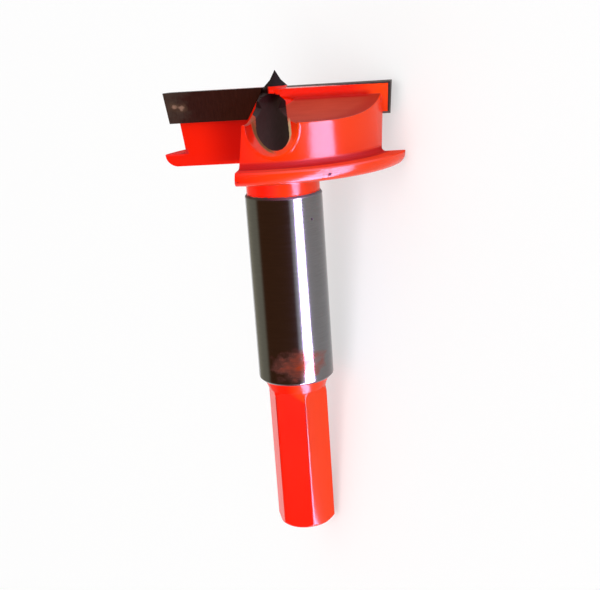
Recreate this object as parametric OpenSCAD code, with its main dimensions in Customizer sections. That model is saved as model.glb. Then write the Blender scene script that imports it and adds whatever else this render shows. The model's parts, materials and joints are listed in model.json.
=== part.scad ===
// Hinge-boring forstner bit: a steel body turned in one piece, with a depth-stop flange,
// milled chip gullets and a hexagonal tail, and two carbide plates brazed to its ridges.
// The bit is drawn upright, with its axis on Z and its cutting edges in the plane z = 0,
// and is then laid on its side as it comes to rest.

/* [Cutting head] */
// Diameter of the hole that the bit bores
cut_d = 35; // [30:0.5:40]
// Clearance between the drum and the wall of the hole
drum_clear = 1.2; // [0.8:0.1:2]
// Depth from the cutting edges to the top face of the stop flange
stop_depth = 9.95; // [9.5:0.05:14]
// Reach of the stop flange past the cutting circle
stop_lip = 2.2; // [1.5:0.1:5]
// Thickness of the stop flange
stop_t = 2.1; // [2:0.1:4]
// Radius of the flange's lower outer edge
stop_round = 1.7; // [0.5:0.1:1.8]
// Radius of the inside corner between the drum and the flange
stop_fillet = 0.6; // [0.3:0.1:1]

/* [Cutting ridges] */
// Distance of each cutting edge ahead of the bit's centre plane
edge_lead = 0.5; // [0.2:0.1:1]
// Rake angle of the cutting plates, in degrees
rake = 15; // [8:1:18]
// Relief angle of the ground tops behind the edges, in degrees
edge_relief = 2.6; // [2:0.1:6]
// Thickness of a ridge from its cutting edge to its back
ridge_w = 3.6; // [3.5:0.1:5]
// Height of the end of a ridge that stands out past the drum
ridge_h = 4.3; // [3:0.1:4.8]
// Set-back of the end of a ridge behind the end of its plate
ridge_step = 0.06; // [0.05:0.01:0.4]
// Side clearance of the plates and ridges, in degrees
side_clearance = 3.5; // [1:0.5:6]

/* [Carbide plates] */
// Thickness of a carbide plate
plate_t = 2; // [1.5:0.1:2.2]
// Height of a carbide plate down its rake face
plate_h = 5; // [4.5:0.1:6]
// Distance of a plate's inner top corner from the axis
plate_root = 1.6; // [1.2:0.1:2]
// Slant of a plate's inner end, in degrees
plate_slant = 30; // [24:1:34]
// Depth to which the inner end of a plate is let into the core
plate_bite = 0.3; // [0.1:0.05:0.5]

/* [Relief scoops] */
// Radius of the wheel that scoops out the relief behind a ridge
scoop_r = 22.5; // [19:0.5:30]
// Distance of the scoop's lowest line from the bit's centre plane
scoop_reach = 13; // [12:0.5:15]
// Depth of that lowest line below the cutting edges
scoop_depth = 4.05; // [3.6:0.05:4.6]

/* [Chip gullets] */
// Distance of a gullet's trailing wall from the axis, level with the cutting edges
web_half = 2.2; // [1.8:0.1:2.8]
// Lean of a gullet's trailing wall, in degrees
gullet_lean = 8; // [4:1:12]

/* [Centre point] */
// Height of the centre point above the cutting edges
point_h = 2.5; // [1.8:0.1:4]
// Radius of the point where its steep tip meets its flared foot
point_waist_r = 0.85; // [0.6:0.05:1.2]
// Height of that waist above the cutting edges
point_waist_z = 1; // [0.5:0.1:1.4]
// Radius of the flared foot
point_foot_r = 2.1; // [1.8:0.05:2.3]
// Depth of the foot's rim below the cutting edges
point_foot_drop = 0.25; // [0.1:0.05:0.5]
// Diameter of the hub round the point
hub_d = 9.2; // [8:0.2:10]
// Depth of the hub's rim below the cutting edges
hub_drop = 1.75; // [1.5:0.05:2]
// Slope of the top of the hub, in degrees
hub_slope = 22; // [16:1:26]

/* [Ground grooves] */
// Diameter of a groove's round nose, at the foot of the point
groove_nose_d = 4.6; // [4:0.1:5]
// Diameter of a groove where it leaves the drum
groove_mouth_d = 7.4; // [6:0.1:7.8]
// Slope of a groove's axis, in degrees
groove_slope = 19.5; // [16:0.5:22]
// Turn of a groove from square to the blades, in degrees
groove_turn = 9.5; // [6:0.5:12]
// Distance by which the line of a groove passes the bit's axis
groove_pass = 1.3; // [0.8:0.1:1.5]
// Distance of the centre of the round nose from the centre plane
groove_start = 4.4; // [4.2:0.1:5.5]
// Depth of the groove's floor below the cutting edges at its nose
groove_floor = 2.55; // [2.3:0.05:2.8]

/* [Shank] */
// Diameter of the painted neck under the flange
neck_d = 11.4; // [10.4:0.1:11.8]
// Length of the neck
neck_len = 3.8; // [2:0.1:6]
// Diameter of the bright round shank
shank_d = 12; // [11.9:0.1:13]
// Length of the bright round shank
shank_len = 30.2; // [20:0.1:45]
// Chamfer at both ends of the shank
shank_chamfer = 0.45; // [0.2:0.05:0.7]

/* [Hexagonal tail] */
// Width of the hexagon across its flats
hex_af = 8.5; // [8:0.1:9.2]
// Length of the tail, from the shank to the end of the bit
hex_len = 25.1; // [18:0.1:35]
// Diameter of the tapered collar where it meets the shank
collar_d = 10.4; // [10:0.1:10.8]
// Length of the tapered collar
collar_len = 1.7; // [1.2:0.1:3]
// Height of the collar's narrow end above the flats of the hexagon
collar_rise = 0.35; // [0.2:0.05:0.5]
// Angle at which the corners of the hexagon run out into the collar, in degrees
corner_angle = 18; // [12:1:40]
// Size of the chamfer round the end of the tail
end_chamfer = 0.8; // [0.4:0.1:1.2]
// Turn of the hexagon about the axis, in degrees
hex_turn = 50.8; // [36:0.1:60]

/* [Hidden] */
$fn = 96;
paint_colour = [1, 0.2, 0.05];
carbide_colour = [0.2, 0.13, 0.11];

cut_r = cut_d / 2;
drum_r = cut_r - drum_clear;
stop_r = cut_r + stop_lip;
neck_r = neck_d / 2;
shank_r = shank_d / 2;
groove_nose_r = groove_nose_d / 2;
groove_mouth_r = groove_mouth_d / 2;
hub_r = hub_d / 2;
hex_corner_r = hex_af / 2 / cos(30);

// Heights along the axis, from the cutting edges down
stop_top_z = -stop_depth;
stop_low_z = stop_top_z - stop_t;
shank_top_z = stop_low_z - neck_len;
shank_low_z = shank_top_z - shank_len;
hex_top_z = shank_low_z - collar_len;
tail_z = shank_low_z - hex_len;

// How far the cutting tools reach past the part
over = 4;
reach = stop_r + over;
low_z = stop_low_z - over;

// Seat of a plate, level with the cutting edges, and the back of its ridge
seat_y = edge_lead - plate_t / cos(rake);
ridge_back_y = edge_lead - ridge_w;
tip_x = sqrt(cut_r * cut_r - edge_lead * edge_lead);
core_root_r = plate_root + plate_bite;

// The three points on which the bit lies: both corners of the flange at the gullet
// ahead of the first plate, the second of them on the rounded edge, and a corner of the tail
touch_angle = 24;
lead_y = seat_y + stop_top_z * tan(rake);
lead_corner = [sqrt(stop_r * stop_r - lead_y * lead_y), lead_y, stop_top_z];
trail_z = stop_low_z + stop_round * (1 - sin(touch_angle));
trail_r = stop_r - stop_round * (1 - cos(touch_angle));
trail_x = web_half - trail_z * tan(gullet_lean);
trail_corner = [trail_x, sqrt(trail_r * trail_r - trail_x * trail_x), trail_z];
tail_corner = [
    hex_corner_r * cos(hex_turn),
    hex_corner_r * sin(hex_turn),
    tail_z + end_chamfer
];

// Directions of the floor's X, Y and Z, seen from the upright bit
floor_normal = cross(trail_corner - lead_corner, tail_corner - lead_corner);
up = floor_normal / norm(floor_normal);
level = sqrt(1 - up[2] * up[2]);
ahead = ([0, 0, 1] - up[2] * up) / level;
aside = cross(up, ahead);

// Middle of the length of the lying bit
tip_end = point_h * level;
tail_end = tail_z * level - (hex_corner_r - end_chamfer) * up[2];
middle = (tip_end + tail_end) / 2;

// Lays the upright bit on the floor, with its tip towards +X
module laid_down() {
    multmatrix([
        [ahead[0], ahead[1], ahead[2], -middle],
        [aside[0], aside[1], aside[2], 0],
        [up[0], up[1], up[2], -(up * lead_corner)],
        [0, 0, 0, 1]
    ])
        children();
}

// Repeats a ridge or a cut on the other side of the axis
module both_sides() {
    for (turn = [0, 180])
        rotate(turn)
            children();
}

// Extrudes an outline drawn in Y and Z along X
module along_x(length) {
    rotate([90, 0, 90])
        linear_extrude(length)
            children();
}

// Section of the stop flange, sharp above and rounded below
module flange_section() {
    translate([0, stop_low_z])
        square([stop_r - stop_round, stop_t]);
    translate([0, stop_low_z + stop_round])
        square([stop_r, stop_t - stop_round]);
    intersection() {
        translate([stop_r - stop_round, stop_low_z + stop_round])
            circle(stop_round);
        translate([0, stop_low_z])
            square([stop_r, stop_round]);
    }
}

// Section of the fillet between the drum and the flange
module fillet_section() {
    difference() {
        translate([drum_r - stop_fillet, stop_top_z])
            square([2 * stop_fillet, stop_fillet]);
        translate([drum_r + stop_fillet, stop_top_z + stop_fillet])
            circle(stop_fillet);
    }
}

// Drum, flange, neck, shank and collar, turned round the axis
module turned_body() {
    rotate_extrude() {
        translate([0, stop_top_z])
            square([drum_r, stop_depth - hub_drop]);
        flange_section();
        fillet_section();
        polygon([
            [0, hex_top_z],
            [hex_af / 2 + collar_rise, hex_top_z],
            [collar_d / 2, shank_low_z],
            [shank_r - shank_chamfer, shank_low_z],
            [shank_r, shank_low_z + shank_chamfer],
            [shank_r, shank_top_z - shank_chamfer],
            [shank_r - shank_chamfer, shank_top_z],
            [neck_r, shank_top_z],
            [neck_r, stop_top_z],
            [0, stop_top_z]
        ]);
    }
}

// Low cone round the centre point
module hub() {
    rotate_extrude()
        polygon([
            [0, hub_r * tan(hub_slope) - hub_drop],
            [hub_r, -hub_drop],
            [hub_r + hub_drop, -2 * hub_drop],
            [0, -2 * hub_drop]
        ]);
}

// Core between the gullets: it widens downwards until it is as thick as the neck
module core() {
    rotate_extrude()
        polygon([
            [0, low_z],
            [neck_r, low_z],
            [neck_r, (core_root_r - neck_r) / tan(plate_slant)],
            [0, core_root_r / tan(plate_slant)]
        ]);
}

// Bar that backs one plate, turned to just under the cutting circle at its end
module ridge() {
    intersection() {
        translate([0, ridge_back_y, -ridge_h])
            cube([cut_r, ridge_w, ridge_h]);
        translate([0, 0, -ridge_h])
            cylinder(
                h = ridge_h,
                r1 = cut_r - ridge_step - ridge_h * tan(side_clearance),
                r2 = cut_r - ridge_step
            );
    }
}

// Notch ahead of one plate: its leading wall carries on from the plate's seat
module gullet() {
    difference() {
        intersection() {
            along_x(reach)
                polygon([
                    [seat_y + over * tan(rake), over],
                    [reach, over],
                    [reach, low_z],
                    [seat_y + low_z * tan(rake), low_z]
                ]);
            translate([0, reach, 0])
                rotate([90, 0, 0])
                    linear_extrude(2 * reach)
                        polygon([
                            [web_half - over * tan(gullet_lean), over],
                            [reach, over],
                            [reach, low_z],
                            [web_half - low_z * tan(gullet_lean), low_z]
                        ]);
        }
        core();
    }
}

// Hollow relief behind one ridge, which leaves the hub standing
module scoop() {
    difference() {
        intersection() {
            translate([-reach, -scoop_reach, scoop_r - scoop_depth])
                rotate([0, 90, 0])
                    cylinder(h = 2 * reach, r = scoop_r);
            translate([-reach, ridge_back_y - reach, -reach])
                cube([2 * reach, reach, 2 * reach]);
        }
        hub();
    }
}

// Ground top behind one cutting edge
module ground_top() {
    along_x(reach)
        polygon([
            [edge_lead, 0],
            [edge_lead, over],
            [edge_lead - ridge_w - over, over],
            [edge_lead - ridge_w - over, -(ridge_w + over) * tan(edge_relief)]
        ]);
}

// Round-nosed groove that widens from the foot of the point out through the drum
module groove() {
    nose_z = groove_nose_r / cos(groove_slope) - groove_floor;
    run = (drum_r - groove_start) / cos(groove_slope);
    widening = (groove_mouth_r - groove_nose_r) / run;
    rotate(groove_turn)
        translate([-groove_pass, -groove_start, nose_z])
            rotate([90 + groove_slope, 0, 0])
                rotate_extrude() {
                    polygon([
                        [0, 0],
                        [groove_nose_r, 0],
                        [groove_mouth_r + widening * over, run + over],
                        [0, run + over]
                    ]);
                    intersection() {
                        circle(groove_nose_r);
                        translate([0, -groove_nose_r])
                            square([groove_nose_r, 2 * groove_nose_r]);
                    }
                }
}

// Centre point: a steep ground tip on a flared foot
module centre_point() {
    rotate_extrude()
        polygon([
            [0, point_h],
            [point_waist_r, point_waist_z],
            [point_foot_r, -point_foot_drop],
            [point_foot_r, -hub_drop],
            [0, -hub_drop]
        ]);
}

// Hexagonal tail, with its corners turned off at both ends
module hex_tail() {
    narrow_r = hex_af / 2 + collar_rise;
    run_out = (hex_corner_r - narrow_r) / tan(corner_angle);
    intersection() {
        translate([0, 0, tail_z])
            rotate(hex_turn)
                cylinder(h = shank_low_z - tail_z, r = hex_corner_r, $fn = 6);
        rotate_extrude()
            polygon([
                [0, tail_z],
                [hex_corner_r - end_chamfer, tail_z],
                [hex_corner_r, tail_z + end_chamfer],
                [hex_corner_r, hex_top_z - run_out],
                [narrow_r, hex_top_z],
                [narrow_r, shank_low_z],
                [0, shank_low_z]
            ]);
    }
}

// One plate, leaning back at the rake angle, with a slanted inner end
module plate() {
    difference() {
        translate([0, edge_lead, 0])
            rotate([90 - rake, 0, 0])
                linear_extrude(plate_t)
                    polygon([
                        [plate_root, 0],
                        [cut_r, 0],
                        [cut_r, -plate_h],
                        [plate_root + plate_h * tan(plate_slant), -plate_h]
                    ]);
        ground_top();
        translate([tip_x, edge_lead, 0])
            rotate([0, side_clearance, -side_clearance])
                translate([0, -over, -2 * over])
                    cube([over, 2 * over, 4 * over]);
    }
}

// Body, all in one piece of steel, with a seat cut for each plate
module bit_body() {
    color(paint_colour)
        laid_down()
            difference() {
                union() {
                    difference() {
                        union() {
                            turned_body();
                            hub();
                            both_sides()
                                ridge();
                        }
                        both_sides() {
                            gullet();
                            scoop();
                            ground_top();
                            groove();
                        }
                    }
                    centre_point();
                    hex_tail();
                }
                both_sides()
                    plate();
            }
}

// Plate on the ridge nearest the floor
module cutter_plate_1() {
    color(carbide_colour)
        laid_down()
            plate();
}

// Plate on the ridge that is uppermost
module cutter_plate_2() {
    color(carbide_colour)
        laid_down()
            rotate(180)
                plate();
}

bit_body();
cutter_plate_1();
cutter_plate_2();
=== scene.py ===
import json
import math

import bpy
from mathutils import Matrix, Vector

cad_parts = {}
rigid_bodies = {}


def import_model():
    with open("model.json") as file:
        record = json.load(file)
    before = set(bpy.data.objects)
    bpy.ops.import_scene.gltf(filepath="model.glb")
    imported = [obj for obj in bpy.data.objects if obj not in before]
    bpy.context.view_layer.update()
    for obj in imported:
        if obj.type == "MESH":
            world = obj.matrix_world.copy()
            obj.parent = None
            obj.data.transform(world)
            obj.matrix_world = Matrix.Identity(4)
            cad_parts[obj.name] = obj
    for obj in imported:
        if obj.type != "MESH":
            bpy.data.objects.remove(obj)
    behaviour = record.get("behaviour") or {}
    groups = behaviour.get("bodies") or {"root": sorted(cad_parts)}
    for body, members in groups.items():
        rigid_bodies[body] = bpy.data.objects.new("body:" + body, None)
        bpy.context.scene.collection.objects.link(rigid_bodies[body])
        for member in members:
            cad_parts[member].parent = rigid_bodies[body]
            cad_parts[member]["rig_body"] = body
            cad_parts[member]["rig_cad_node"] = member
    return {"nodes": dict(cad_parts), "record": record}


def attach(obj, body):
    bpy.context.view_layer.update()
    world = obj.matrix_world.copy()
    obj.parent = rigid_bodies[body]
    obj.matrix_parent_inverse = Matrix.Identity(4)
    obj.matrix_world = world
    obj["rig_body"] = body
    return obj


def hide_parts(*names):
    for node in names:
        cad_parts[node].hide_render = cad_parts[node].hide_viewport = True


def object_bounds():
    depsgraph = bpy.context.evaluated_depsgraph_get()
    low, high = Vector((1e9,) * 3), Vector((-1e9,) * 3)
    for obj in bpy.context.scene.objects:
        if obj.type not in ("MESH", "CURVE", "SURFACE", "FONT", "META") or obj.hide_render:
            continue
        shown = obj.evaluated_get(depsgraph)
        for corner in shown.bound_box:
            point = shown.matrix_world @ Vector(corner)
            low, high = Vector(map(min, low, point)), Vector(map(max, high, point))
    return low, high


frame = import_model()
cad_low, cad_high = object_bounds()


# Bit body: one bar of steel, turned to a drum, a stop flange, a neck and a round shank, then milled
# to a hexagon at the tail and cut through the drum for the chips. It is sprayed with gloss red paint,
# and the shank, the grooves, the tops of the ridges and the point are ground bare afterwards.

MM = 0.001
SAME_HEIGHT = 0.01

# The upright bit: Z up its axis to the tip, X along its blades, and Z = 0 at the cutting edges.
shank_mount = next(m for m in frame["record"]["mounts"] if m["name"] == "shank")
shank_middle = Vector(shank_mount["pos_m"])
tip_way = -Vector(shank_mount["axis"]).normalized()


def from_axis(point):
    """Distance of a point from the axis of the bit."""
    arm = point - shank_middle
    return (arm - tip_way * arm.dot(tip_way)).length


plate_corners = [v.co.copy() for v in frame["nodes"]["cutter_plate_1"].data.vertices]
edge_height = max(p.dot(tip_way) for p in plate_corners)
edge_corners = [p for p in plate_corners if edge_height - p.dot(tip_way) < SAME_HEIGHT * MM]
edge_inner = min(edge_corners, key=from_axis)
edge_outer = max(edge_corners, key=from_axis)
blade_way = (edge_outer - edge_inner).normalized()
lead_way = tip_way.cross(blade_way)
head_centre = shank_middle + tip_way * (edge_outer - shank_middle).dot(tip_way)
upright = Matrix.Translation(head_centre) @ Matrix((blade_way, lead_way, tip_way)).transposed().to_4x4()
upright = upright @ Matrix.Scale(MM, 4)
to_upright_place, to_upright_turn, to_upright_scale = upright.inverted().decompose()

# Sizes of the body in millimetres, on the upright bit, and how its edges are rounded.
SHANK_TOP = -15.85
SHANK_LOW = -46.05
TAIL_END = -71.15
DRUM_R = 16.3
STOP_TOP = -9.95
STOP_FILLET = 0.6
FILLET_SLACK = 0.1
EDGE_ROUND = 0.1
EDGE_STEPS = 2
EDGE_SHORT = 0.12
TAIL_ROUND = 0.3
TAIL_STEPS = 3
TAIL_CORNER_LONG = 5.0
BODY_MERGE = 0.02
LAST_MERGE = 0.002
FLAT_WITHIN = math.radians(0.2)
SHARP_FROM = math.radians(24)
SMOOTH_WITHIN = math.radians(32)


def in_fillet(point):
    """Whether a point of the body lies in the small fillet at the foot of the drum."""
    stands = (point - head_centre).dot(tip_way) / MM - STOP_TOP
    out = from_axis(point) / MM - DRUM_R
    reach = STOP_FILLET + FILLET_SLACK
    return -FILLET_SLACK / 2 < stands < reach and -FILLET_SLACK < out < reach


def on_tail_corner(first, second):
    """Whether an edge is one of the long corners of the hexagonal tail."""
    below = max((point - head_centre).dot(tip_way) for point in (first, second))
    return below < SHANK_LOW * MM and (first - second).length > TAIL_CORNER_LONG * MM


def on_edge(first, second):
    """Whether an edge is long enough to be rounded, and clear of the small fillet."""
    return (first - second).length > EDGE_SHORT * MM and not in_fillet(first) and not in_fillet(second)


def rounded_copy(node, name, merge, roundings):
    """Copies a solid, joins up its loose triangles and rounds its sharp edges."""
    piece = frame["nodes"][node].copy()
    piece.data = piece.data.copy()
    piece.name = name
    piece.data.name = name
    piece.data.materials.clear()
    # The copy is a piece of its own, so it drops the marks of a CAD node.
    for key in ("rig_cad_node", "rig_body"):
        del piece[key]
    bpy.context.scene.collection.objects.link(piece)
    bpy.ops.object.select_all(action="DESELECT")
    piece.select_set(True)
    bpy.context.view_layer.objects.active = piece
    bpy.ops.object.mode_set(mode="EDIT")
    bpy.ops.mesh.select_mode(type="EDGE")
    bpy.ops.mesh.select_all(action="SELECT")
    bpy.ops.mesh.remove_doubles(threshold=merge * MM)
    bpy.ops.mesh.dissolve_limited(angle_limit=FLAT_WITHIN)
    for picks, width, steps in roundings:
        bpy.ops.mesh.select_all(action="DESELECT")
        bpy.ops.mesh.edges_select_sharp(sharpness=SHARP_FROM)
        bpy.ops.object.mode_set(mode="OBJECT")
        points = piece.data.vertices
        for edge in piece.data.edges:
            edge.select = edge.select and picks(*(points[i].co for i in edge.vertices))
        for point in points:
            point.select = False
        for face in piece.data.polygons:
            face.select = False
        bpy.ops.object.mode_set(mode="EDIT")
        bpy.ops.mesh.bevel(
            offset=width * MM,
            segments=steps,
            affect="EDGES",
            clamp_overlap=False,
            miter_outer="ARC",
            miter_inner="SHARP",
        )
    bpy.ops.mesh.select_all(action="SELECT")
    bpy.ops.mesh.remove_doubles(threshold=LAST_MERGE * MM)
    bpy.ops.object.mode_set(mode="OBJECT")
    for point in piece.data.vertices:
        point.co = Vector(max(low, min(high, c)) for c, low, high in zip(point.co, cad_low, cad_high))
    bpy.ops.object.shade_smooth_by_angle(angle=SMOOTH_WITHIN)
    even = piece.modifiers.new("Even", "WEIGHTED_NORMAL")
    even.mode = "FACE_AREA_WITH_ANGLE"
    even.keep_sharp = True
    bpy.ops.object.modifier_apply(modifier=even.name)
    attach(piece, "root")
    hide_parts(node)
    return piece


def put(tree, value, socket):
    """Links a socket, or sets a plain value."""
    if isinstance(value, bpy.types.NodeSocket):
        tree.links.new(value, socket)
    else:
        socket.default_value = value


def sums(tree, operation, *values):
    """One step of arithmetic."""
    step = tree.nodes.new("ShaderNodeMath")
    step.operation = operation
    for value, socket in zip(values, step.inputs):
        put(tree, value, socket)
    return step.outputs[0]


def in_turn(tree, operation, values):
    """The same step of arithmetic on several values, one after another."""
    result = values[0]
    for value in values[1:]:
        result = sums(tree, operation, result, value)
    return result


def plus(tree, *values):
    """The sum of several values."""
    return in_turn(tree, "ADD", values)


def minus(tree, first, second):
    """What is left of the first value without the second."""
    return sums(tree, "SUBTRACT", first, second)


def times(tree, *values):
    """The product of several values or masks."""
    return in_turn(tree, "MULTIPLY", values)


def largest(tree, *values):
    """The largest of several values or masks."""
    return in_turn(tree, "MAXIMUM", values)


def line_at(tree, value, slope, start):
    """How high a straight line is at a value."""
    return plus(tree, times(tree, value, slope), start)


def span(tree, first, second):
    """How long two parts at right angles are together."""
    return sums(tree, "SQRT", plus(tree, times(tree, first, first), times(tree, second, second)))


def along_way(tree, first, second, turn):
    """How far a point lies along a way that is turned from its first axis towards its second."""
    return plus(tree, times(tree, first, math.cos(turn)), times(tree, second, math.sin(turn)))


def fade(tree, value, start, end):
    """Goes smoothly from 0 at start to 1 at end."""
    step = tree.nodes.new("ShaderNodeMapRange")
    step.interpolation_type = "SMOOTHSTEP"
    put(tree, value, step.inputs["Value"])
    put(tree, start, step.inputs["From Min"])
    put(tree, end, step.inputs["From Max"])
    return step.outputs["Result"]


def band(tree, value, low, high):
    """A mask between a low and a high fade."""
    return times(tree, fade(tree, value, *low), fade(tree, value, *high))


def blend_colour(tree, share, first, second):
    """Mixes two colours."""
    step = tree.nodes.new("ShaderNodeMix")
    step.data_type = "RGBA"
    put(tree, share, step.inputs[0])
    put(tree, first, step.inputs[6])
    put(tree, second, step.inputs[7])
    return step.outputs[2]


def blend_value(tree, share, first, second):
    """Mixes two values."""
    step = tree.nodes.new("ShaderNodeMix")
    step.data_type = "FLOAT"
    put(tree, share, step.inputs[0])
    put(tree, first, step.inputs[2])
    put(tree, second, step.inputs[3])
    return step.outputs[0]


def cloud(tree, place, scale, detail, rough=0.5):
    """Even noise from 0 to 1."""
    step = tree.nodes.new("ShaderNodeTexNoise")
    put(tree, place, step.inputs["Vector"])
    put(tree, scale, step.inputs["Scale"])
    step.inputs["Detail"].default_value = detail
    step.inputs["Roughness"].default_value = rough
    return step.outputs["Fac"]


def wander(tree, noise, amount):
    """Moves an edge to and fro by an amount, with a noise."""
    return times(tree, minus(tree, noise, 0.5), amount)


def stretched(tree, place, scale):
    """Stretches a place by a factor for each axis."""
    step = tree.nodes.new("ShaderNodeVectorMath")
    step.operation = "MULTIPLY"
    put(tree, place, step.inputs[0])
    step.inputs[1].default_value = scale
    return step.outputs[0]


def way_from(tree, place, centre):
    """The way from a centre to a place."""
    step = tree.nodes.new("ShaderNodeVectorMath")
    step.operation = "SUBTRACT"
    put(tree, place, step.inputs[0])
    step.inputs[1].default_value = centre
    return step.outputs[0]


def length_of(tree, way):
    """The length of a way."""
    step = tree.nodes.new("ShaderNodeVectorMath")
    step.operation = "LENGTH"
    put(tree, way, step.inputs[0])
    return step.outputs["Value"]


def apart(tree, place):
    """The three parts of a place."""
    step = tree.nodes.new("ShaderNodeSeparateXYZ")
    put(tree, place, step.inputs[0])
    return step.outputs


def relief(tree, shader, height, depth, strength):
    """Shows a height on the surface without changing its shape."""
    bump = tree.nodes.new("ShaderNodeBump")
    bump.inputs["Distance"].default_value = depth * MM
    bump.inputs["Strength"].default_value = strength
    put(tree, height, bump.inputs["Height"])
    put(tree, bump.outputs[0], shader.inputs["Normal"])


def group(name, inputs, outputs):
    """An empty shader group with named sockets."""
    tree = bpy.data.node_groups.new(name, "ShaderNodeTree")
    for socket, kind in inputs:
        tree.interface.new_socket(socket, in_out="INPUT", socket_type=kind)
    for socket, kind in outputs:
        tree.interface.new_socket(socket, in_out="OUTPUT", socket_type=kind)
    start = tree.nodes.new("NodeGroupInput")
    end = tree.nodes.new("NodeGroupOutput")
    return tree, start.outputs, end.inputs


def use(tree, made, **inputs):
    """Places a shader group in a material."""
    step = tree.nodes.new("ShaderNodeGroup")
    step.node_tree = made
    for name, value in inputs.items():
        put(tree, value, step.inputs[name])
    return step.outputs


# The place of a point on the upright bit, in millimetres.
upright_place, start, end = group(
    "upright_place", [("Object", "NodeSocketVector")], [("Upright", "NodeSocketVector")]
)
turn = upright_place.nodes.new("ShaderNodeMapping")
turn.inputs["Location"].default_value = to_upright_place
turn.inputs["Rotation"].default_value = to_upright_turn.to_euler()
turn.inputs["Scale"].default_value = to_upright_scale
put(upright_place, start["Object"], turn.inputs["Vector"])
put(upright_place, turn.outputs[0], end["Upright"])

# Fine marks left by a grinding wheel, stretched along the way the wheel ran.
grinding, start, end = group(
    "grinding",
    [("Place", "NodeSocketVector"), ("Fine", "NodeSocketFloat")],
    [("Streaks", "NodeSocketFloat"), ("Patches", "NodeSocketFloat")],
)
put(grinding, cloud(grinding, start["Place"], scale=start["Fine"], detail=3.0), end["Streaks"])
put(grinding, cloud(grinding, start["Place"], scale=0.35, detail=3.0), end["Patches"])


def new_material(name):
    """A material with its shader and the upright place of each point."""
    made = bpy.data.materials.new(name)
    made.use_nodes = True
    tree = made.node_tree
    where = tree.nodes.new("ShaderNodeTexCoord").outputs["Object"]
    place = use(tree, upright_place, Object=where)["Upright"]
    return made, tree, tree.nodes["Principled BSDF"], place


body_finish, tree, shader, place = new_material("red_paint_and_ground_steel")
x, y, z = apart(tree, place)
radius = span(tree, x, y)

# Both halves of the head are alike, so a point is taken round to the front half.
half_turn = times(tree, sums(tree, "SIGN", y), -1.0)
front_x = times(tree, x, half_turn)
front_y = times(tree, y, half_turn)

# Bright shank between the collar and the uneven line where the paint of the neck ends.
# Here and below, a pair of numbers says where a mask is 0 and where it is 1.
SHANK_FROM = (SHANK_LOW + 0.10, SHANK_LOW + 0.16)
SHANK_TO = (SHANK_TOP - 0.10, SHANK_TOP - 0.16)
SHANK_DULL_LOW = (SHANK_LOW + 0.25, SHANK_LOW + 0.12)
SHANK_DULL_TOP = (SHANK_TOP - 0.6, SHANK_TOP - 0.4)
PAINT_WANDER = 0.3
ragged = cloud(tree, place, scale=1.6, detail=3.0)
paint_line = plus(tree, z, wander(tree, ragged, PAINT_WANDER))
shank_bare = times(tree, fade(tree, z, *SHANK_FROM), fade(tree, paint_line, *SHANK_TO))
shank_ends = largest(tree, fade(tree, z, *SHANK_DULL_TOP), fade(tree, z, *SHANK_DULL_LOW))

# Black on the tops and ends of the ridges, and on the point above its painted foot.
TOP_BARE = -0.05
TOP_BARE_SLANT = -0.0095
POINT_BARE = 0.15
POINT_FOOT = (2.4, 2.1)
TOPS_WANDER = 0.10
TOPS_EDGE = (-0.03, 0.03)
RIDGE_END_R = 17.44
SIDE_CLEARANCE = math.tan(math.radians(3.5))
RIDGE_END_SKIN = (0.12, 0.04)
RIDGE_END_LOW = (-6.0, -5.0)
ridge_bare = line_at(tree, largest(tree, front_x, 0.0), TOP_BARE_SLANT, TOP_BARE)
bare_from = blend_value(tree, fade(tree, radius, *POINT_FOOT), ridge_bare, POINT_BARE)
bare_from = plus(tree, bare_from, wander(tree, ragged, TOPS_WANDER))
tops_bare = fade(tree, minus(tree, z, bare_from), *TOPS_EDGE)
from_end = minus(tree, line_at(tree, z, SIDE_CLEARANCE, RIDGE_END_R), radius)
ends_bare = times(tree, fade(tree, from_end, *RIDGE_END_SKIN), fade(tree, z, *RIDGE_END_LOW))
black_tops = largest(tree, tops_bare, ends_bare)

# Ground floor of each groove, a long oval that widens to one side near the foot of the point.
QUARTER = math.radians(90)
GROOVE_TURN = math.radians(9.5)
GROOVE_PASS = 1.08
GROOVE_NOSE = 4.6
GROOVE_NOSE_LONG = 2.8
GROOVE_NOSE_LEAN = 0.35
GROOVE_END = 12.4
GROOVE_END_SLANT = 0.45
GROOVE_END_LONG = 2.5
GROOVE_HALF = 2.3
GROOVE_WIDER = 1.2
GROOVE_WIDER_ALONG = (8.0, 5.0)
GROOVE_WIDER_SIDE = (0.0, -0.5)
GROOVE_WANDER = 0.07
GROOVE_EDGE = (1.02, 0.98)
HEAD_LOW = (-9.4, -9.0)
HEAD_HIGH = (-0.35, -0.6)
POINT_SIDE = (0.05, -0.25)
POINT_ROUND = (4.6, 4.2)
POINT_LOW = (-2.2, -1.9)
across = plus(tree, along_way(tree, front_x, front_y, GROOVE_TURN), GROOVE_PASS)
along = along_way(tree, front_x, front_y, GROOVE_TURN - QUARTER)
before_nose = largest(tree, minus(tree, GROOVE_NOSE, along), 0.0)
end_line = line_at(tree, across, GROOVE_END_SLANT, GROOVE_END)
past_end = largest(tree, minus(tree, along, end_line), 0.0)
nose_share = sums(tree, "DIVIDE", before_nose, GROOVE_NOSE_LONG)
end_share = sums(tree, "DIVIDE", past_end, GROOVE_END_LONG)
leaning = plus(tree, across, times(tree, before_nose, GROOVE_NOSE_LEAN))
wider = times(tree, fade(tree, along, *GROOVE_WIDER_ALONG), fade(tree, across, *GROOVE_WIDER_SIDE))
half_width = line_at(tree, wider, GROOVE_WIDER, GROOVE_HALF)
oval = span(tree, plus(tree, nose_share, end_share), sums(tree, "DIVIDE", leaning, half_width))
oval = plus(tree, oval, wander(tree, ragged, GROOVE_WANDER))
on_head = band(tree, z, HEAD_LOW, HEAD_HIGH)
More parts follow.
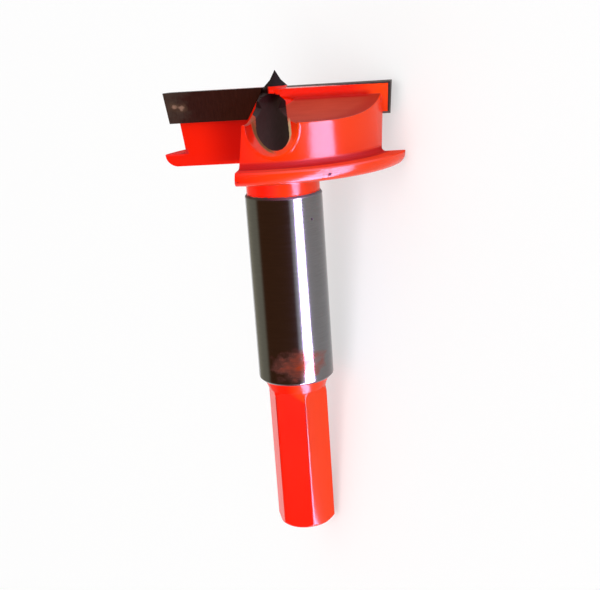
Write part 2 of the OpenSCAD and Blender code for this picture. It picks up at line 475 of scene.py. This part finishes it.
beside_point = times(
    tree,
    fade(tree, across, *POINT_SIDE),
    fade(tree, radius, *POINT_ROUND),
    fade(tree, z, *POINT_LOW),
)
groove_bare = largest(tree, times(tree, fade(tree, oval, *GROOVE_EDGE), on_head), beside_point)

# The rim of each groove, scorched to gold on one side and pale on the other.
GOLD_EDGE = (1.38, 1.16)
GOLD_SIDE = (0.5, -0.7)
GOLD_ALONG = (6.0, 12.0)
PALE_EDGE = (1.16, 1.10)
PALE_SIDE = (1.3, 1.9)
PALE_FROM = (9.5, 12.0)
PALE_TO = (15.5, 13.5)
rim_gold = times(
    tree,
    fade(tree, oval, *GOLD_EDGE),
    fade(tree, across, *GOLD_SIDE),
    fade(tree, along, *GOLD_ALONG),
    on_head,
)
rim_pale = times(
    tree,
    fade(tree, oval, *PALE_EDGE),
    fade(tree, across, *PALE_SIDE),
    band(tree, along, PALE_FROM, PALE_TO),
    on_head,
)

# Lip of paint round the mouth of each groove, where the wheel broke out through the drum.
MOUTH_PASS = 1.3
MOUTH_START = 4.4
MOUTH_SINK = 0.11
MOUTH_SLOPE = math.radians(19.5)
MOUTH_NOSE_R = 2.3
MOUTH_WIDENING = 0.1109
LIP_OUT = 0.2
LIP_WIDTH = (0.25, 0.0)
LIP_SKIN = (DRUM_R - 0.4, DRUM_R - 0.1)
from_start = minus(tree, along, MOUTH_START)
from_top = plus(tree, z, MOUTH_SINK)
down_cone = along_way(tree, from_start, from_top, -MOUTH_SLOPE)
over_cone = along_way(tree, from_start, from_top, QUARTER - MOUTH_SLOPE)
beside_cone = plus(tree, across, MOUTH_PASS - GROOVE_PASS)
cone_r = line_at(tree, down_cone, MOUTH_WIDENING, MOUTH_NOSE_R)
from_mouth = minus(tree, span(tree, beside_cone, over_cone), cone_r)
from_lip = sums(tree, "ABSOLUTE", minus(tree, from_mouth, LIP_OUT))
lip = times(tree, fade(tree, from_lip, *LIP_WIDTH), on_head, fade(tree, radius, *LIP_SKIN))

# Dull, thin paint in the relief scoops behind the ridges.
RIDGE_BACK = -3.0
SCOOP_R = 22.5
SCOOP_REACH = 13.0
SCOOP_CENTRE = 18.45
SCOOP_SKIN = (0.16, 0.06)
SCOOP_SIDE = (RIDGE_BACK, RIDGE_BACK - 0.1)
SCOOP_RIM = (DRUM_R - 0.05, DRUM_R - 0.25)
DULL_RIM = (DRUM_R - 0.9, DRUM_R - 3.2)
scoop_far = span(tree, plus(tree, front_y, SCOOP_REACH), minus(tree, z, SCOOP_CENTRE))
from_scoop = sums(tree, "ABSOLUTE", minus(tree, scoop_far, SCOOP_R))
scooped = times(
    tree,
    fade(tree, from_scoop, *SCOOP_SKIN),
    fade(tree, front_y, *SCOOP_SIDE),
    fade(tree, radius, *SCOOP_RIM),
)
dull = times(tree, scooped, fade(tree, radius, *DULL_RIM))

# Painted shade: darker red along the foot of each ridge, in the fillet at the foot of the drum, and on
# the inner part of the chip wall under each plate, where these creases and corners would lie in shade.
RIDGE_FOOT = -1.71
FOOT_WIDTH = (0.95, 0.15)
FOOT_FROM = (1.0, 3.0)
FOOT_TO = (15.0, 13.5)
FILLET_LOW = (STOP_TOP - 0.15, STOP_TOP)
FILLET_HIGH = (STOP_TOP + 1.1, STOP_TOP + 0.5)
FILLET_INNER = (DRUM_R - 0.5, DRUM_R - 0.2)
FILLET_OUTER = (DRUM_R + 1.6, DRUM_R + 0.8)
WALL_FROM = (1.0, 3.0)
WALL_TO = (14.0, 7.5)
WALL_FACE = (-5.6, -5.1)
WALL_LOW = (STOP_TOP - 2.2, STOP_TOP - 1.2)
WALL_HIGH = (-3.0, -4.0)
from_foot = span(tree, minus(tree, front_y, RIDGE_BACK), minus(tree, z, RIDGE_FOOT))
ridge_foot_shade = times(tree, fade(tree, from_foot, *FOOT_WIDTH), band(tree, front_x, FOOT_FROM, FOOT_TO))
fillet_band = times(tree, band(tree, z, FILLET_LOW, FILLET_HIGH), band(tree, radius, FILLET_INNER, FILLET_OUTER))
wall_inner_shade = times(
    tree,
    band(tree, front_x, WALL_FROM, WALL_TO),
    fade(tree, front_y, *WALL_FACE),
    band(tree, z, WALL_LOW, WALL_HIGH),
)

# Painted light: one side of the bit, and one face of its tail, are a more orange red, as where they
# would be lit more strongly.
LIT_SIDE_WAY = math.radians(320.8)
LIT_RIM = (DRUM_R - 5.0, DRUM_R - 0.1)
LIT_BELOW = (STOP_TOP - 0.4, STOP_TOP - 0.8)
LIT_ON_ROUND = (0.40, 0.85)
LIT_ON_TAIL = (0.853, 0.879)
TAIL_FROM = (SHANK_LOW - 1.5, SHANK_LOW - 3.5)
TAIL_TO = (TAIL_END + 0.06, TAIL_END + 0.16)
towards_lit = sums(tree, "DIVIDE", along_way(tree, x, y, LIT_SIDE_WAY), radius)
on_tail = fade(tree, z, *TAIL_FROM)
lit_edge = [blend_value(tree, on_tail, *ends) for ends in zip(LIT_ON_ROUND, LIT_ON_TAIL)]
outside = largest(tree, fade(tree, radius, *LIT_RIM), fade(tree, z, *LIT_BELOW))
lit_side = times(tree, fade(tree, towards_lit, *lit_edge), outside, fade(tree, z, *TAIL_TO))

# Gloss red paint, with painted light on its brighter side and painted shade in the creases and corners.
RED = ((0.88, 0.007, 0.0003, 1), (0.98, 0.014, 0.0008, 1))
LIT_SIDE_RED = ((0.96, 0.046, 0.0020, 1), (1.0, 0.058, 0.0030, 1))
DULL_RED = ((0.48, 0.036, 0.014, 1), (0.66, 0.068, 0.030, 1))
WALL_SHADE_RED = (0.60, 0.003, 0.0004, 1)
FILLET_SHADE_RED = (0.60, 0.004, 0.001, 1)
SCOOP_RED = (0.50, 0.026, 0.008, 1)
FOOT_SHADE_RED = (0.56, 0.006, 0.001, 1)
DULL_STREAKS = (0.25, 0.6, 1.4)
tone = cloud(tree, place, scale=0.09, detail=2.0)
streaked = cloud(tree, stretched(tree, place, DULL_STREAKS), scale=0.8, detail=2.0)
paint = blend_colour(tree, tone, *RED)
# Painted light: the more orange red of the brighter side.
paint = blend_colour(tree, lit_side, paint, blend_colour(tree, tone, *LIT_SIDE_RED))
# Painted shade: darker red on the inner part of each chip wall and in the fillet.
paint = blend_colour(tree, wall_inner_shade, paint, WALL_SHADE_RED)
paint = blend_colour(tree, fillet_band, paint, FILLET_SHADE_RED)
paint = blend_colour(tree, scooped, paint, SCOOP_RED)
paint = blend_colour(tree, dull, paint, blend_colour(tree, streaked, *DULL_RED))
# Painted shade: darker red along the foot of each ridge.
paint = blend_colour(tree, ridge_foot_shade, paint, FOOT_SHADE_RED)

# Bare steel, ground bright round the shank and burnt dark on the head.
STEEL = ((0.130, 0.128, 0.127, 1), (0.200, 0.199, 0.198, 1))
BURNT = ((0.020, 0.004, 0.004, 1), (0.048, 0.014, 0.015, 1))
SHANK_WHEEL = (0.35, 0.35, 7.0)
HEAD_WHEEL = (5.0, 0.7, 0.7)
shank_marks = use(tree, grinding, Place=stretched(tree, place, SHANK_WHEEL), Fine=1.3)
head_marks = use(tree, grinding, Place=stretched(tree, place, HEAD_WHEEL), Fine=1.0)
steel = blend_colour(tree, shank_marks["Streaks"], *STEEL)
burnt = blend_colour(tree, head_marks["Streaks"], *BURNT)

# A smear of paint low on the shank, a pit near its top, and a chip on the rim of the flange.
SMEAR_AT = (1.2, -5.85, -42.6)
SMEAR_WIDE = 4.6
SMEAR_TALL = 2.7
SMEAR_SHRINK = (1 / SMEAR_WIDE, 1 / SMEAR_WIDE, 1 / SMEAR_TALL)
SMEAR_PATCHES = (1.0, 1.0, 1.4)
SMEAR_PATCHY = 1.6
SMEAR_STREAKS = (0.6, 0.6, 1.6)
SMEAR_STREAK_EDGE = (0.30, 0.70)
SMEAR_COVER = (0.45, 0.95)
SMEAR_EDGE = (1.9, 0.7)
SMEAR_FILM = 0.45
PIT_AT = (4.66, -3.78, -19.81)
PIT_EDGE = (0.26, 0.14)
CHIP_AT = (9.30, -17.37, -11.07)
CHIP_EDGE = (0.40, 0.26)
from_smear = length_of(tree, stretched(tree, way_from(tree, place, SMEAR_AT), SMEAR_SHRINK))
patchy = cloud(tree, stretched(tree, place, SMEAR_PATCHES), scale=0.5, detail=2.0)
streaky = cloud(tree, stretched(tree, place, SMEAR_STREAKS), scale=1.0, detail=2.0)
smear_far = plus(tree, from_smear, times(tree, patchy, SMEAR_PATCHY))
cover = blend_value(tree, fade(tree, streaky, *SMEAR_STREAK_EDGE), *SMEAR_COVER)
smear = times(tree, fade(tree, smear_far, *SMEAR_EDGE), cover)
smear_film = times(tree, sums(tree, "POWER", smear, SMEAR_FILM), shank_bare)
pit = fade(tree, length_of(tree, way_from(tree, place, PIT_AT)), *PIT_EDGE)
chip = fade(tree, length_of(tree, way_from(tree, place, CHIP_AT)), *CHIP_EDGE)

# Colour: the paint, then what is ground bare, and last what lies on it or has broken out of it.
GOLD = (0.19, 0.070, 0.006, 1)
PALE = (0.56, 0.40, 0.21, 1)
SMEAR_RED = (0.32, 0.034, 0.006, 1)
TOPS_BLACK = ((0.006, 0.003, 0.003, 1), (0.026, 0.013, 0.013, 1))
PIT_DARK = (0.030, 0.012, 0.012, 1)
CHIP_DARK = (0.110, 0.006, 0.016, 1)
colour = blend_colour(tree, rim_gold, paint, GOLD)
colour = blend_colour(tree, rim_pale, colour, PALE)
colour = blend_colour(tree, groove_bare, colour, burnt)
colour = blend_colour(tree, shank_bare, colour, steel)
colour = blend_colour(tree, smear_film, colour, SMEAR_RED)
colour = blend_colour(tree, black_tops, colour, blend_colour(tree, ragged, *TOPS_BLACK))
colour = blend_colour(tree, pit, colour, PIT_DARK)
colour = blend_colour(tree, chip, colour, CHIP_DARK)
put(tree, colour, shader.inputs["Base Color"])
bare = largest(tree, shank_bare, groove_bare)
covered = largest(tree, smear, pit, black_tops)
put(tree, times(tree, bare, minus(tree, 1.0, covered)), shader.inputs["Metallic"])
BODY_SPECULAR = 0.2
shader.inputs["Specular IOR Level"].default_value = BODY_SPECULAR

# Roughness: gloss paint, dry in the scoops and on top of the flange, and a shank that is polished
# between its two ends.
GLOSS = (0.16, 0.20)
DRY = 0.75
POLISH = (0.10, 0.17)
SHANK_END_ROUGH = 0.5
BURNT_ROUGH = 0.55
RIM_ROUGH = 0.5
WORN_ROUGH = 0.85
UNDER_STOP = (STOP_TOP - 0.2, STOP_TOP - 0.8)
STOP_LOW = (STOP_TOP - 0.4, STOP_TOP - 0.1)
STOP_HIGH = (STOP_TOP + 0.8, STOP_TOP + 0.4)
STOP_INNER = (DRUM_R + 0.2, DRUM_R + 0.6)
on_stop = times(tree, band(tree, z, STOP_LOW, STOP_HIGH), fade(tree, radius, *STOP_INNER))
paint_rough = blend_value(tree, fade(tree, z, *UNDER_STOP), *GLOSS)
paint_rough = blend_value(tree, largest(tree, scooped, fillet_band, on_stop), paint_rough, DRY)
polished = blend_value(tree, shank_marks["Patches"], *POLISH)
shank_rough = blend_value(tree, shank_ends, polished, SHANK_END_ROUGH)
bare_rough = blend_value(tree, shank_bare, BURNT_ROUGH, shank_rough)
rough = blend_value(tree, bare, paint_rough, bare_rough)
rough = blend_value(tree, largest(tree, rim_gold, rim_pale), rough, RIM_ROUGH)
rough = blend_value(tree, largest(tree, black_tops, pit, chip), rough, WORN_ROUGH)
put(tree, rough, shader.inputs["Roughness"])

# Relief: the skin of the paint with its lips, the marks of the wheel, and the pit.
PEEL_HIGH = 0.16
MARKS_HIGH = 0.05
PIT_DEEP = 0.8
LIP_HIGH = 1.6
peel = times(tree, cloud(tree, place, scale=1.1, detail=1.0), PEEL_HIGH)
height = blend_value(tree, bare, peel, times(tree, shank_marks["Streaks"], MARKS_HIGH))
height = minus(tree, height, times(tree, pit, PIT_DEEP))
height = plus(tree, height, times(tree, lip, LIP_HIGH))
relief(tree, shader, height, depth=0.05, strength=0.6)

body = rounded_copy(
    "bit_body",
    "bit_body_finished",
    BODY_MERGE,
    ((on_tail_corner, TAIL_ROUND, TAIL_STEPS), (on_edge, EDGE_ROUND, EDGE_STEPS)),
)
body.data.materials.append(body_finish)


# Cutter plates: sintered tungsten carbide, pressed to shape, brazed into the raked seats of the ridges
# and ground flush with them. The faces are dark, with fine upright marks from the wheel, and a little
# paler towards the outer ends. One of them has two pale spots.

PLATE_MERGE = 0.005
PLATE_ROUND = 0.04
PLATE_WHEEL = (4.0, 0.6, 0.6)
CARBIDE = ((0.020, 0.003, 0.001, 1), (0.042, 0.010, 0.005, 1))
PALER_CARBIDE = ((0.034, 0.019, 0.013, 1), (0.064, 0.038, 0.028, 1))
PALER_OUT = (12.5, 17.5)
PALER_WANDER = 9.0
PLATE_ROUGH = (0.36, 0.52)
PLATE_SPECULAR = 0.08
SPOTS = (((-16.02, 0.08, -2.25), 0.46), ((-14.88, 0.14, -2.38), 0.42))
SPOT_WANDER = 1.4
SPOT_REACH = 1.3
SPOT_HEART = 0.3
SPOT_SHARE = 0.75
SPOT_PALE = (0.30, 0.17, 0.12, 1)
HALO_REACH = 2.6
HALO_SHARE = 0.5
HALO_BROWN = (0.085, 0.045, 0.026, 1)

carbide, tree, shader, place = new_material("ground_carbide")
marks = use(tree, grinding, Place=stretched(tree, place, PLATE_WHEEL), Fine=1.2)
dark = blend_colour(tree, marks["Streaks"], *CARBIDE)
paler = blend_colour(tree, marks["Streaks"], *PALER_CARBIDE)
mottle = cloud(tree, place, scale=0.8, detail=5.0, rough=0.65)
out_at = plus(tree, sums(tree, "ABSOLUTE", apart(tree, place)["X"]), wander(tree, mottle, PALER_WANDER))
colour = blend_colour(tree, fade(tree, out_at, *PALER_OUT), dark, paler)
spot_edge = wander(tree, cloud(tree, place, scale=1.5, detail=3.0), SPOT_WANDER)
for spot_at, spot_r in SPOTS:
    from_spot = plus(tree, length_of(tree, way_from(tree, place, spot_at)), spot_edge)
    halo = fade(tree, from_spot, spot_r * HALO_REACH, spot_r)
    colour = blend_colour(tree, times(tree, halo, HALO_SHARE), colour, HALO_BROWN)
    spot = fade(tree, from_spot, spot_r * SPOT_REACH, spot_r * SPOT_HEART)
    colour = blend_colour(tree, times(tree, spot, SPOT_SHARE), colour, SPOT_PALE)
put(tree, colour, shader.inputs["Base Color"])
put(tree, blend_value(tree, marks["Patches"], *PLATE_ROUGH), shader.inputs["Roughness"])
shader.inputs["Specular IOR Level"].default_value = PLATE_SPECULAR
relief(tree, shader, marks["Streaks"], depth=0.03, strength=0.5)

for node in ("cutter_plate_1", "cutter_plate_2"):
    plate = rounded_copy(node, f"{node}_finished", PLATE_MERGE, ((on_edge, PLATE_ROUND, EDGE_STEPS),))
    plate.data.materials.append(carbide)


# Floor and light: a plain white sheet that the bit lies on, in an even room with a large soft lamp
# overhead. A flat panel that lies on the sheet beside the bit is mirrored in it, and draws the bright
# line down the shank and the drum.

SHEET_SIZE = 4.0
SHEET_WHITE = (0.95, 0.95, 0.95, 1)
SHEET_ROUGH = 0.9
VEIL_WHITE = (1, 1, 1, 1)
VEIL_SHARE = 0.55
bpy.ops.object.select_all(action="DESELECT")
bpy.ops.mesh.primitive_plane_add(size=SHEET_SIZE, location=(0, 0, 0))
floor = bpy.context.active_object
floor.name = "floor"
sheet = bpy.data.materials.new("white_sheet")
sheet.use_nodes = True
tree = sheet.node_tree
shader = tree.nodes["Principled BSDF"]
shader.inputs["Base Color"].default_value = SHEET_WHITE
shader.inputs["Roughness"].default_value = SHEET_ROUGH
seen = tree.nodes.new("ShaderNodeLightPath").outputs
straight = largest(tree, seen["Is Camera Ray"], seen["Is Glossy Ray"], seen["Is Transmission Ray"])
white = tree.nodes.new("ShaderNodeEmission")
white.inputs["Color"].default_value = VEIL_WHITE
veil = tree.nodes.new("ShaderNodeMixShader")
put(tree, times(tree, straight, VEIL_SHARE), veil.inputs[0])
put(tree, shader.outputs[0], veil.inputs[1])
put(tree, white.outputs[0], veil.inputs[2])
put(tree, veil.outputs[0], tree.nodes["Material Output"].inputs["Surface"])
floor.data.materials.append(sheet)

# The room gives dull surfaces an even light, and bright ones dim walls to mirror, pale at the foot.
EVEN_LIGHT = (0.62, 0.62, 0.62, 1)
BACK_WALL = (0.54, 0.51, 0.40, 1)
FRONT_WALL = (0.172, 0.069, 0.032, 1)
WALL_FOOT = (0.95, 0.95, 0.97, 1)
WALL_FOOT_HIGH = (0.08, 0.20)
WALL_FOOT_SOLID = 0.3
FRONT_EDGE = (0.55, 0.30)
room = bpy.data.worlds.new("room")
bpy.context.scene.world = room
room.use_nodes = True
tree = room.node_tree
way = apart(tree, tree.nodes.new("ShaderNodeTexCoord").outputs["Generated"])
in_front = fade(tree, way["Y"], *FRONT_EDGE)
foot_high = blend_value(tree, in_front, *WALL_FOOT_HIGH)
at_foot = fade(tree, way["Z"], foot_high, times(tree, foot_high, WALL_FOOT_SOLID))
walls = blend_colour(tree, in_front, BACK_WALL, FRONT_WALL)
walls = blend_colour(tree, at_foot, walls, WALL_FOOT)
seen = tree.nodes.new("ShaderNodeLightPath").outputs
light = blend_colour(tree, seen["Is Diffuse Ray"], walls, EVEN_LIGHT)
put(tree, light, tree.nodes["Background"].inputs["Color"])


def lamp(name, kind, place, turn, **settings):
    """A lamp at a place, turned from shining straight down."""
    data = bpy.data.lights.new(name, kind)
    for key, value in settings.items():
        setattr(data, key, value)
    made = bpy.data.objects.new(name, data)
    bpy.context.scene.collection.objects.link(made)
    made.location = place
    made.rotation_euler = turn
    return made


OVERHEAD_AT = Vector((-0.05, -0.25, 0.40))
OVERHEAD_TURN = (-OVERHEAD_AT).to_track_quat("-Z", "Y").to_euler()
OVERHEAD_SOFT = math.radians(50)
PANEL_AT = (-0.0107, -0.064, 0.001)
PANEL_TURN = (math.pi, 0, math.radians(-23.2))
PANEL_TINT = (0.66, 0.53, 1.0)
overhead = lamp("overhead", "SUN", OVERHEAD_AT, OVERHEAD_TURN, energy=1.6, angle=OVERHEAD_SOFT)
overhead.visible_glossy = False
panel = lamp(
    "panel",
    "AREA",
    PANEL_AT,
    PANEL_TURN,
    energy=1.35,
    shape="RECTANGLE",
    size=0.12,
    size_y=0.085,
    color=PANEL_TINT,
)
panel.visible_camera = False
panel.visible_diffuse = False


# Camera: it looks down on the lying bit and is turned so that the tip points up the picture. Its
# place and its turn are given on the upright bit, and its focal length in pixels of the picture.

PICTURE_W = 600
FOCAL = 1093.2
SENSOR = 36.0
EYE_AT = (25.247, -165.651, 12.089)
PICTURE_RIGHT = (0.989974, 0.123773, -0.068061)
PICTURE_UP = (0.033076, 0.265316, 0.963594)
NEAREST = 0.01
FARTHEST = 20.0
turned = upright.to_3x3().normalized()
right = turned @ Vector(PICTURE_RIGHT)
above = turned @ Vector(PICTURE_UP)
facing = Matrix((right, above, right.cross(above))).transposed().to_4x4()
view_data = bpy.data.cameras.new("camera")
view_data.sensor_width = SENSOR
view_data.lens = FOCAL * SENSOR / PICTURE_W
view_data.clip_start = NEAREST
view_data.clip_end = FARTHEST
camera = bpy.data.objects.new("camera", view_data)
bpy.context.scene.collection.objects.link(camera)
camera.matrix_world = Matrix.Translation(upright @ Vector(EYE_AT)) @ facing
bpy.context.scene.camera = camera
bpy.context.scene.view_settings.view_transform = "Standard"
